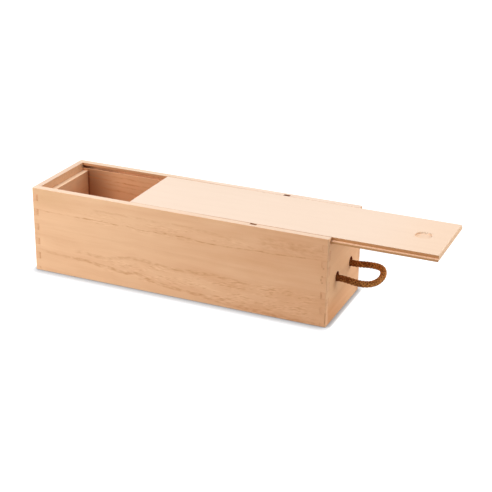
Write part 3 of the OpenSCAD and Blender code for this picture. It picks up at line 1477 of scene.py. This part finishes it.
@dataclass
class Walls:
    """The four finger-jointed walls and the bottom board. Sizes are in metres.

    Attributes:
        corner: radius of the four upright corners.
        groove: depth of the lid's groove.
        lip: wood left above the groove.
        first: height of the lowest finger.
        finger: height of a finger.
        pitch: distance from one finger to the next.
        fingers: how many fingers there are.
        slot: depth of the slots for the neck rest.
        slot_play: slack of the neck rest on each face.
        hole: diameter of a rope hole.
        hole_up: height of the holes.
        hole_pitch: distance between the holes.
        arris: easing of every edge.
    """

    corner: float = 1.2 * MM
    groove: float = 3.2 * MM
    lip: float = 3.2 * MM
    first: float = 14.4 * MM
    finger: float = 7.8 * MM
    pitch: float = 17.6 * MM
    fingers: int = 5
    slot: float = 2.0 * MM
    slot_play: float = 0.25 * MM
    hole: float = 11.0 * MM
    hole_up: float = 46.2 * MM
    hole_pitch: float = 44.0 * MM
    arris: float = 0.22 * MM

    def __post_init__(self) -> None:
        """Reads the places of the walls from the frame."""
        self.front = Block.of_node("front_side")
        self.closed = Block.of_node("closed_end")
        self.rope = Block.of_node("rope_end")
        self.bottom = Block.of_node("bottom_board")
        self.rest = Block.of_node("neck_rest")
        self.inner_y = -self.front.high.y
        self.top = self.front.high.z
        self.marks = JointMarks(
            end=self.rope.low.x / MM,
            side=self.inner_y / MM,
            first=self.first / MM,
            finger=self.finger / MM,
            pitch=self.pitch / MM,
        )

    def outside(self) -> bmesh.types.BMesh:
        """Makes the whole box's outside, with its upright corners rounded.

        Returns:
            Its mesh.
        """
        reach_x, reach_y = self.rope.high.x, self.closed.high.y
        bm = Block(Vector((-reach_x, -reach_y, 0)), Vector((reach_x, reach_y, self.top))).mesh()
        ease(bm, self.corner, ROUND, lambda edge: abs(edge.verts[0].co.z - edge.verts[1].co.z) > MM)
        return bm

    def finger_rows(self) -> List[Tuple[float, float]]:
        """The lower and upper height of each finger."""
        starts = [self.first + number * self.pitch for number in range(self.fingers)]
        return [(start, start + self.finger) for start in starts]

    def long_side(self, sign: int) -> bmesh.types.BMesh:
        """Makes a long side, with its finger sockets, its lid groove and its neck rest's slot.

        Args:
            sign: -1 for the side at negative Y, 1 for the one at positive Y.

        Returns:
            Its mesh.
        """

        def slab(x0: float, x1: float, y0: float, y1: float, z0: float, z1: float) -> Block:
            """A box whose Y runs outwards from the middle of the box."""
            near, far = sorted((sign * y0, sign * y1))
            return Block(Vector((x0, near, z0)), Vector((x1, far, z1)))

        reach = self.rope.high.x + PAST
        inner, outer = self.inner_y - PAST, self.closed.high.y + PAST
        board = slab(-reach, reach, self.inner_y, outer, -PAST, self.top + PAST)
        bm = carve(self.outside(), board.mesh(), Cut.KEEP)
        for low, high in self.finger_rows():
            for x0, x1 in ((-reach, self.closed.high.x), (self.rope.low.x, reach)):
                bm = carve(bm, slab(x0, x1, inner, outer, low, high).mesh(), Cut.AWAY)
        groove = slab(
            self.closed.high.x,
            reach,
            inner,
            self.inner_y + self.groove,
            self.rope.high.z,
            self.top - self.lip,
        )
        slot = slab(
            self.rest.low.x - self.slot_play,
            self.rest.high.x + self.slot_play,
            inner,
            self.inner_y + self.slot,
            self.bottom.high.z,
            self.top + PAST,
        )
        for tool in (groove, slot):
            bm = carve(bm, tool.mesh(), Cut.AWAY)
        ease(bm, self.arris)
        return bm

    def end_board(self, board: Block, holes: bool) -> bmesh.types.BMesh:
        """Makes an end board with its fingers.

        Args:
            board: the box round it.
            holes: whether it has the two rope holes.

        Returns:
            Its mesh.
        """
        low, high = board.low, board.high
        between = Block(Vector((low.x, -self.inner_y, 0)), Vector((high.x, self.inner_y, high.z)))
        bm, reach = between.mesh(), self.closed.high.y + PAST
        for start, end in self.finger_rows():
            bar = Block(Vector((low.x, -reach, start)), Vector((high.x, reach, end)))
            bm = carve(bm, bar.mesh(), Cut.ADD)
        bm = carve(bm, self.outside(), Cut.KEEP)
        for side in (-1, 1) if holes else ():
            start = (low.x - PAST, side * self.hole_pitch / 2, self.hole_up)
            bm = carve(bm, rod(start, "X", board.size.x + 2 * PAST, self.hole / 2), Cut.AWAY)
        ease(bm, self.arris)
        return bm

    def bottom_board(self) -> bmesh.types.BMesh:
        """Makes the board between the four walls.

        Returns:
            Its mesh.
        """
        bm = self.bottom.mesh()
        ease(bm, self.arris)
        return bm

    def build(self) -> None:
        """Makes and dresses all five boards."""
        closed, roped = self.end_board(self.closed, False), self.end_board(self.rope, True)
        for name, bm, node, finish, marks in (
            ("front_side_board", self.long_side(-1), "front_side", FRONT_WOOD, self.marks),
            ("back_side_board", self.long_side(1), "back_side", BACK_WOOD, self.marks),
            ("closed_end_board", closed, "closed_end", CLOSED_END_WOOD, self.marks),
            ("rope_end_board", roped, "rope_end", ROPE_END_WOOD, self.marks),
            ("bottom_panel", self.bottom_board(), "bottom_board", BOTTOM_WOOD, None),
        ):
            Maker.place(link(name, bm), "box", [node], finish.slot, finish.paint(marks))


@dataclass
class InnerBoards:
    """The spacer at the closed end and the notched neck rest.

    Attributes:
        notch: width of the notch.
        notch_up: height of the notch's centre above the bottom board.
        arris: easing of every edge.
    """

    notch: float = 34.0 * MM
    notch_up: float = 38.0 * MM
    arris: float = 0.3 * MM

    def spacer(self) -> bmesh.types.BMesh:
        """Makes the board against the closed end.

        Returns:
            Its mesh.
        """
        bm = Block.of_node("base_spacer").mesh()
        ease(bm, self.arris)
        return bm

    def neck_rest(self) -> bmesh.types.BMesh:
        """Makes the upright board, with a U-shaped notch from its top.

        Returns:
            Its mesh.
        """
        board = Block.of_node("neck_rest")
        centre, half = board.low.z + self.notch_up, self.notch / 2
        start, length = (board.low.x - PAST, 0.0, centre), board.size.x + 2 * PAST
        open_top = Block(
            Vector((board.low.x - PAST, -half, centre)),
            Vector((board.high.x + PAST, half, board.high.z + PAST)),
        )
        bm = carve(board.mesh(), rod(start, "X", length, half, WIDE_CIRCLE), Cut.AWAY)
        bm = carve(bm, open_top.mesh(), Cut.AWAY)
        ease(bm, self.arris)
        return bm

    def build(self) -> None:
        """Makes and dresses both boards."""
        material = INNER_WOOD.paint()
        for name, bm, node in (
            ("spacer_board", self.spacer(), "base_spacer"),
            ("neck_rest_board", self.neck_rest(), "neck_rest"),
        ):
            Maker.place(link(name, bm), "box", [node], INNER_WOOD.slot, material)


@dataclass
class SlidingLid:
    """The lid: a board with a tongue along each long edge and a round recess for the thumb.

    Attributes:
        tongue: width of a tongue beyond the upper board.
        tongue_t: thickness of the tongues.
        thumb: diameter of the recess.
        thumb_depth: its depth.
        thumb_in: its centre's distance from the outer end.
        end_round: radius of the outer end's upper edge.
        arris: easing of every other edge.
    """

    tongue: float = 3.2 * MM
    tongue_t: float = 2.6 * MM
    thumb: float = 17.5 * MM
    thumb_depth: float = 1.8 * MM
    thumb_in: float = 29.0 * MM
    end_round: float = 1.2 * MM
    arris: float = 0.3 * MM

    def board(self) -> bmesh.types.BMesh:
        """Makes the whole lid in one board.

        Returns:
            Its mesh.
        """
        whole = Block.of_node("lid")
        low, high, centre = whole.low, whole.high, whole.middle
        bm = whole.mesh()
        ease(
            bm,
            self.end_round,
            ROUND,
            lambda edge: all(v.co.x > centre.x and v.co.z > centre.z for v in edge.verts),
        )
        for side in (-1, 1):
            near, far = sorted((side * (high.y - self.tongue), side * (high.y + PAST)))
            rebate = Block(
                Vector((low.x - PAST, near, low.z + self.tongue_t)),
                Vector((high.x + PAST, far, high.z + PAST)),
            )
            bm = carve(bm, rebate.mesh(), Cut.AWAY)
        spot = (high.x - self.thumb_in, 0.0, high.z - self.thumb_depth)
        recess = rod(spot, "Z", self.thumb_depth + PAST, self.thumb / 2, WIDE_CIRCLE)
        bm = carve(bm, recess, Cut.AWAY)
        ease(bm, self.arris)
        return bm

    def build(self) -> None:
        """Makes and dresses the lid."""
        Maker.place(
            link("sliding_lid", self.board()), "lid", ["lid"], LID_WOOD.slot, LID_WOOD.paint()
        )


# ---------------------------------------------------------------- the rope


@dataclass(frozen=True)
class Braid:
    """How the rope is braided. Lengths are in metres.

    Attributes:
        outside: radius that the highest strands reach.
        strand: radius of one strand.
        strands: strands that turn each way round the rope.
        lay: length in which a strand turns once round the rope.
        over: how far a strand rises where it passes over another.
        step: distance between two points of a strand.
        core_sides: how round the core is, as a curve's bevel resolution.
        strand_sides: how round a strand is, in the same way.
    """

    outside: float
    strand: float
    strands: int = 6
    lay: float = 24.0 * MM
    over: float = 0.3 * MM
    step: float = 0.36 * MM
    core_sides: int = 3
    strand_sides: int = 1

    def make(self, name: str, lines: Sequence[Sequence[Vector]]) -> bpy.types.Object:
        """Braids strands round lines.

        Args:
            name: the object's name.
            lines: the rope's middle lines, evenly spaced by the step.

        Returns:
            A mesh object, with each point's rest place and height on the braid as attributes.
        """
        crossing = self.lay / (2 * self.strands)
        radius = self.outside - self.strand - self.over
        runs: List[List[Vector]] = []
        for line in lines:
            sides = transported(line)
            for turn in (-1, 1):
                for number in range(self.strands):
                    run = []
                    for index, (point, (side, up)) in enumerate(zip(line, sides)):
                        way = index * self.step
                        angle = 2 * math.pi * (number / self.strands + turn * way / self.lay)
                        reach = radius + turn * self.over * math.cos(math.pi * way / crossing)
                        run.append(point + reach * (math.cos(angle) * side + math.sin(angle) * up))
                    runs.append(run)
        core = tubes("core", lines, radius, self.core_sides)
        made = joined_meshes(name, [tubes("strands", runs, self.strand, self.strand_sides), core])
        self._remember(made, lines)
        return made

    def _remember(self, piece: bpy.types.Object, lines: Sequence[Sequence[Vector]]) -> None:
        """Stores each point's rest place in millimetres, and how far out on the rope it lies.

        Args:
            piece: the braid.
            lines: the rope's middle lines.
        """
        points = [point for line in lines for point in line]
        tree = KDTree(len(points))
        for index, point in enumerate(points):
            tree.insert(point, index)
        tree.balance()
        spots = [vertex.co.copy() for vertex in piece.data.vertices]
        rest = piece.data.attributes.new(REST_PLACE, "FLOAT_VECTOR", "POINT")
        rest.data.foreach_set("vector", [number / MM for spot in spots for number in spot])
        crest = piece.data.attributes.new(CREST, "FLOAT", "POINT")
        crest.data.foreach_set("value", [tree.find(spot)[2] / self.outside for spot in spots])


@dataclass(frozen=True)
class OverhandKnot:
    """An overhand knot that is drawn tight against a wall. Lengths are in rope diameters.

    Attributes:
        span: distance between the ends of its rope.
        length: length of its rope.
        points: how many points its line has.
        rounds: in how many rounds it is drawn tight.
        mends: how often each round mends overlaps and lengths.
        bend: how far a point moves towards the middle of its neighbours in each round.
        drawn: share of the rounds after which the rope has its length.
        push: how strongly overlapping lengths push each other away.
        held: length of rope that may touch the wall.
    """

    span: float = 4.58
    length: float = 14.1
    points: int = 72
    rounds: int = 240
    mends: int = 12
    bend: float = 0.1
    drawn: float = 0.8
    push: float = 1.3
    held: float = 0.9

    def line(self) -> np.ndarray:
        """Draws the knot tight.

        Returns:
            The points of its line, from the wall at the origin along negative X.
        """
        line, whole = self._loose()
        first, second = np.triu_indices(self.points, 1)
        for number in range(self.rounds):
            share = min(1.0, number / (self.drawn * self.rounds))
            gap = (whole + (self.length - whole) * share) / (self.points - 1)
            apart = math.ceil(0.5 * math.pi / gap) + 1
            far = second - first >= apart
            middle = (line[:-2] + line[2:]) / 2 - line[1:-1]
            line[1:-1] += self.bend * middle
            for _ in range(self.mends):
                self._keep_apart(line, first[far], second[far])
                self._keep_lengths(line, gap)
                self._keep_ends(line, gap)
        return line

    def _loose(self) -> Tuple[np.ndarray, float]:
        """Lays a loose knot.

        Returns:
            Its line as evenly spaced points, and its length.
        """
        t = np.linspace(-2.0, 2.0, 400)
        loop = np.stack(
            [-1.5 * (t**3 - 3 * t) - self.span / 2, t**4 - 4 * t**2 + 2, 0.28 * (t**5 - 10 * t)], 1
        )
        run = np.vstack([[[0.0, 0.0, 0.0]], loop, [[-self.span, 0.0, 0.0]]])
        way = np.concatenate([[0.0], np.cumsum(np.linalg.norm(np.diff(run, axis=0), axis=1))])
        places = np.linspace(0.0, way[-1], self.points)
        return np.stack([np.interp(places, way, run[:, axis]) for axis in range(3)], 1), way[-1]

    def _keep_apart(self, line: np.ndarray, first: np.ndarray, second: np.ndarray) -> None:
        """Moves points of two lengths of rope that overlap away from each other.

        Args:
            line: the rope's points, which are moved.
            first: the lower number of each pair of points that may not overlap.
            second: the higher number of each pair.
        """
        between = line[second] - line[first]
        span = np.linalg.norm(between, axis=1)
        close = span < 1.0
        if not close.any():
            return
        push = ((1 - span[close]) / 2 / np.maximum(span[close], 1e-6))[:, None] * between[close]
        moves, counts = np.zeros_like(line), np.ones(len(line))
        for ends, sign in ((first[close], -1), (second[close], 1)):
            np.add.at(moves, ends, sign * push)
            np.add.at(counts, ends, 1)
        line += moves / np.maximum(counts - 1, 1)[:, None] * self.push

    @staticmethod
    def _keep_lengths(line: np.ndarray, gap: float) -> None:
        """Brings neighbouring points back to their distance.

        Args:
            line: the rope's points, which are moved.
            gap: that distance.
        """
        for start in (0, 1):
            near = np.arange(start, len(line) - 1, 2)
            between = line[near + 1] - line[near]
            span = np.linalg.norm(between, axis=1)
            mend = ((span - gap) / 2 / np.maximum(span, 1e-9))[:, None] * between
            line[near] += mend
            line[near + 1] -= mend

    def _keep_ends(self, line: np.ndarray, gap: float) -> None:
        """Keeps both ends in place, and the knot's body clear of the wall.

        Args:
            line: the rope's points, which are moved.
            gap: distance between two of them.
        """
        free = math.ceil(self.held / gap)
        line[free:, 0] = np.minimum(line[free:, 0], -0.5)
        line[0] = (0.0, 0.0, 0.0)
        line[-1] = (-self.span, 0.0, 0.0)


@dataclass
class RopeHandle:
    """The rope that goes through the rope end, makes a loop outside it, and is knotted inside.

    Attributes:
        pitch: distance between the two holes, centre to centre.
        strand: radius of one strand.
        fluff: how far the braid stands out of the CAD rope.
        knot_rope: diameter that the rope is pressed to in its knots.
        knot_strand: radius of one strand there.
        knot_fluff: how far the braid stands out there.
        knot_lay: length in which a strand turns once round the rope there.
        lean: turn of the knots about the rope, in degrees.
        ROUTE: the loop from the near hole to the far one, as the part's source has it: along X from
            the bend, across as a share of the pitch, and up from the bend, in millimetres.
    """

    pitch: float = 44.0 * MM
    strand: float = 1.0 * MM
    fluff: float = 0.25 * MM
    knot_rope: float = 4.8 * MM
    knot_strand: float = 0.7 * MM
    knot_fluff: float = 0.08 * MM
    knot_lay: float = 18.0 * MM
    lean: float = 225.0

    ROUTE: ClassVar[Tuple[Point, ...]] = (
        (0, 0, 0),
        (6, 0, -0.5),
        (12, 0, -1.4),
        (18.5, 0.01, -2.2),
        (25, 0.05, -2.6),
        (30.6, 0.13, -2.5),
        (34.5, 0.26, -1.9),
        (36.7, 0.42, -0.5),
        (36.7, 0.59, 1.1),
        (34.5, 0.75, 2.2),
        (30.6, 0.87, 2.5),
        (25, 0.95, 2.2),
        (18.5, 0.99, 1.6),
        (12, 1, 1),
        (6, 1, 0.4),
        (0, 1, 0),
    )

    def __post_init__(self) -> None:
        """Reads the rope's place from the frame."""
        low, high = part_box("rope_ends")
        self.inside = low.x
        self.height = (low.z + high.z) / 2
        self.diameter = high.z - low.z
        swing = next(joint for joint in frame["joints"] if joint["name"] == "handle_swing")
        self.bend_x = swing["pos_m"][0]
        self.braid = Braid(outside=self.diameter / 2 + self.fluff, strand=self.strand)

    def path(self) -> List[Vector]:
        """Lays the rope's middle line from knot to knot.

        Returns:
            Its points, evenly spaced.
        """
        corners = [
            Vector((self.bend_x + x * MM, (share - 0.5) * self.pitch, self.height + z * MM))
            for x, share, z in self.ROUTE
        ]
        straight = [
            Vector((x, corners[0].y, self.height))
            for x in (self.inside, (self.inside + self.bend_x) / 2)
        ]
        corners = straight + corners + [Vector((p.x, -p.y, p.z)) for p in reversed(straight)]
        return evenly(catmull_rom(corners, 24), self.braid.step)

    def knots(self) -> bpy.types.Object:
        """Makes both knots, against the inside of the board.

        Returns:
            One mesh object.
        """
        braid = Braid(
            outside=self.knot_rope / 2 + self.knot_fluff, strand=self.knot_strand, lay=self.knot_lay
        )
        turn = Matrix.Rotation(math.radians(self.lean), 3, "X")
        points = [turn @ Vector(point) * self.knot_rope for point in OverhandKnot().line()]
        lines = []
        for side in (-1, 1):
            wall = Vector((self.inside, side * self.pitch / 2, self.height))
            line = [wall + Vector((p.x, -side * p.y, p.z)) for p in points]
            lines.append(evenly(catmull_rom(line, 6), braid.step))
        return braid.make("stopper_knots", lines)

    def build(self) -> None:
        finish = RopeFinish()
        material = finish.paint()
        line = self.path()
        rope = self.braid.make("handle_rope", [line])
        Maker.place(rope, None, ["rope_handle", "rope_ends"], finish.slot, material)
        knots = Maker.place(self.knots(), "box", ["rope_knots"], finish.slot, material)
        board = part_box("rope_end")[1].x
        -self.pitch / 2
        length_of(line)
        2 * self.bend_x - board
        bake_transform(rope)


def catmull_rom(points: Sequence[Vector], steps: int) -> List[Vector]:
    """Draws a smooth line through points.

    Args:
        points: those points.
        steps: how many steps it takes from one to the next.

    Returns:
        The line's points.
    """
    line = []
    for index in range(len(points) - 1):
        a = points[max(index - 1, 0)]
        b, c = points[index], points[index + 1]
        d = points[min(index + 2, len(points) - 1)]
        for number in range(steps):
            t = number / steps
            line.append(
                0.5
                * (
                    2 * b
                    + (c - a) * t
                    + (2 * a - 5 * b + 4 * c - d) * t * t
                    + (3 * b - 3 * c + d - a) * t * t * t
                )
            )
    return line + [points[-1].copy()]


def length_of(line: Sequence[Vector]) -> float:
    """The length of a line of points."""
    return sum((b - a).length for a, b in zip(line, line[1:]))


def evenly(line: Sequence[Vector], step: float) -> List[Vector]:
    """Spaces the points of a line evenly.

    Args:
        line: the line's points.
        step: distance between two new points, as nearly as the length allows.

    Returns:
        The new points.
    """
    whole = length_of(line)
    count = round(whole / step)
    gap = whole / count
    made, left, index, here = [line[0].copy()], gap, 0, line[0]
    while len(made) < count:
        there = line[index + 1]
        span = (there - here).length
        if span < left:
            left -= span
            here = there
            index += 1
        else:
            here = here.lerp(there, left / span)
            made.append(here.copy())
            left = gap
    return made + [line[-1].copy()]


def transported(line: Sequence[Vector]) -> List[Tuple[Vector, Vector]]:
    """Carries two directions along a line, which turn as little as possible.

    Args:
        line: the line's points.

    Returns:
        At each point, two directions square to the line and to each other.
    """
    before, after = [line[0], *line[:-1]], [*line[1:], line[-1]]
    ways = [(b - a).normalized() for a, b in zip(before, after)]
    side = ways[0].cross(Vector((0, 0, 1))).normalized()
    made = []
    for way in ways:
        side = (side - way * side.dot(way)).normalized()
        made.append((side.copy(), way.cross(side)))
    return made


def tubes(
    name: str, runs: Sequence[Sequence[Vector]], radius: float, roundness: int
) -> bpy.types.Object:
    """Makes round tubes with closed ends.

    Args:
        name: the object's name.
        runs: the points that each tube follows.
        radius: the tubes' radius.
        roundness: a curve's bevel resolution.

    Returns:
        One mesh object.
    """
    data = bpy.data.curves.new(name, "CURVE")
    data.dimensions = "3D"
    data.bevel_depth = radius
    data.bevel_resolution = roundness
    data.use_fill_caps = True
    for run in runs:
        spline = data.splines.new("POLY")
        spline.points.add(len(run) - 1)
        for point, place in zip(spline.points, run):
            point.co = (*place, 1.0)
        spline.use_smooth = True
    curve = bpy.data.objects.new(name, data)
    bpy.context.scene.collection.objects.link(curve)
    graph = bpy.context.evaluated_depsgraph_get()
    mesh = bpy.data.meshes.new_from_object(curve.evaluated_get(graph), depsgraph=graph)
    unlink(curve)
    made = bpy.data.objects.new(name, mesh)
    bpy.context.scene.collection.objects.link(made)
    return made


def joined_meshes(name: str, parts: Sequence[bpy.types.Object]) -> bpy.types.Object:
    """Joins mesh objects.

    Args:
        name: the new object's name.
        parts: the objects, which are removed.

    Returns:
        The new object.
    """
    bm = bmesh.new()
    for part in parts:
        bm.from_mesh(part.data)
        unlink(part)
    bmesh.ops.remove_doubles(bm, verts=bm.verts, dist=MERGED / 2)
    return link(name, bm)


# ---------------------------------------------------------------- studio


@dataclass(frozen=True)
class PhotoCamera:
    """The camera that looks at the box as the photograph does.

    Attributes:
        azimuth: how far it stands round from the front, in degrees.
        elevation: how far it looks down, in degrees.
        roll: how far it leans to one side, in degrees.
        distance: how far it is from its target, in metres.
        lens: its focal length in millimetres, on a sensor 36 mm wide.
        target: the spot in the middle of its picture.
    """

    azimuth: float = 23.1139
    elevation: float = 22.8141
    roll: float = 0.9509
    distance: float = 1.36535
    lens: float = 88.76
    target: Point = (0.05411, 0.01973, 0.04264)

    def build(self) -> None:
        """Makes the camera and sets it as the scene's own."""
        turn, tilt, roll = (math.radians(a) for a in (self.azimuth, self.elevation, self.roll))
        back = Vector(
            (math.sin(turn) * math.cos(tilt), -math.cos(turn) * math.cos(tilt), math.sin(tilt))
        )
        right = Vector((0, 0, 1)).cross(back).normalized()
        up = back.cross(right)
        right, up = (
            math.cos(roll) * right + math.sin(roll) * up,
            math.cos(roll) * up - math.sin(roll) * right,
        )
        lens = bpy.data.cameras.new("photo_camera")
        lens.lens = self.lens
        lens.sensor_width = 36.0
        lens.clip_start, lens.clip_end = 0.05, 50.0
        camera = bpy.data.objects.new("photo_camera", lens)
        bpy.context.scene.collection.objects.link(camera)
        turned = Matrix((right, up, back)).transposed().to_4x4()
        place = Matrix.Translation(Vector(self.target) + back * self.distance)
        camera.matrix_world = place @ turned
        bpy.context.scene.camera = camera


@dataclass(frozen=True)
class Lamp:
    """A soft square lamp that points at a spot.

    Attributes:
        name: the lamp's name.
        place: where it stands, in metres.
        aim: the spot.
        size: length of its side.
        watts: its power.
        colour: the colour of its light.
    """

    name: str
    place: Point
    aim: Point
    size: float
    watts: float
    colour: Colour = (1.0, 1.0, 1.0)

    def build(self) -> None:
        """Makes the lamp."""
        data = bpy.data.lights.new(self.name, "AREA")
        data.size = self.size
        data.energy = self.watts
        data.color = self.colour
        lamp = bpy.data.objects.new(self.name, data)
        bpy.context.scene.collection.objects.link(lamp)
        way = Vector(self.aim) - Vector(self.place)
        lamp.rotation_mode = "QUATERNION"
        lamp.rotation_quaternion = way.to_track_quat("-Z", "Y")
        lamp.location = self.place


@dataclass(frozen=True)
class Studio:
    """White table, white surroundings and soft lamps.

    Attributes:
        sky: strength of the light from all round.
        floor_reach: half the length of the table's side, in metres.
        floor_drop: how far the table lies below the box, so that no two faces share a place.
        lamps: the lamps.
    """

    sky: float = 0.3
    floor_reach: float = 8.0
    floor_drop: float = 0.2 * MM
    lamps: Tuple[Lamp, ...] = (
        Lamp("overhead_softbox", (-0.45, -0.2, 1.45), (0.03, 0.0, 0.05), 1.0, 16.8),
        Lamp("front_left_softbox", (-0.6, -0.72, 0.4), (-0.15, -0.05, 0.05), 0.4, 3.6),
        Lamp("right_fill", (0.95, 0.4, 0.24), (0.18, 0.0, 0.04), 0.9, 7.3),
    )

    def build(self) -> None:
        """Makes the floor, the world and the lamps."""
        bm = bmesh.new()
        bmesh.ops.create_grid(
            bm,
            x_segments=1,
            y_segments=1,
            size=self.floor_reach,
            matrix=Matrix.Translation((0, 0, -self.floor_drop)),
        )
        floor = link("white_floor", bm)
        floor.data.materials.append(FloorFinish().paint())
        self._surroundings()
        for lamp in self.lamps:
            lamp.build()
        bpy.context.scene.view_settings.view_transform = "Standard"

    def _surroundings(self) -> None:
        """A plain sky, which the camera sees as white."""
        world = bpy.data.worlds.new("white_surroundings")
        bpy.context.scene.world = world
        world.use_nodes = True
        tree = world.node_tree
        tree.nodes.clear()
        light = tree.nodes.new("ShaderNodeBackground")
        light.inputs["Strength"].default_value = self.sky
        seen = tree.nodes.new("ShaderNodeBackground")
        mix = tree.nodes.new("ShaderNodeMixShader")
        for background in (light, seen):
            background.inputs["Color"].default_value = (1.0, 1.0, 1.0, 1.0)
        ray = tree.nodes.new("ShaderNodeLightPath")
        output = tree.nodes.new("ShaderNodeOutputWorld")
        tree.links.new(ray.outputs["Is Camera Ray"], mix.inputs[0])
        tree.links.new(light.outputs[0], mix.inputs[1])
        tree.links.new(seen.outputs[0], mix.inputs[2])
        tree.links.new(mix.outputs[0], output.inputs["Surface"])


def main() -> None:
    """Builds the camera and the rope, then the boards and the studio."""
    logging.basicConfig(level=logging.INFO, format="%(message)s")
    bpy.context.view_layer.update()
    PhotoCamera().build()
    RopeHandle().build()
    Walls().build()
    InnerBoards().build()
    SlidingLid().build()
    Studio().build()


if __name__ == "__main__":
    main()
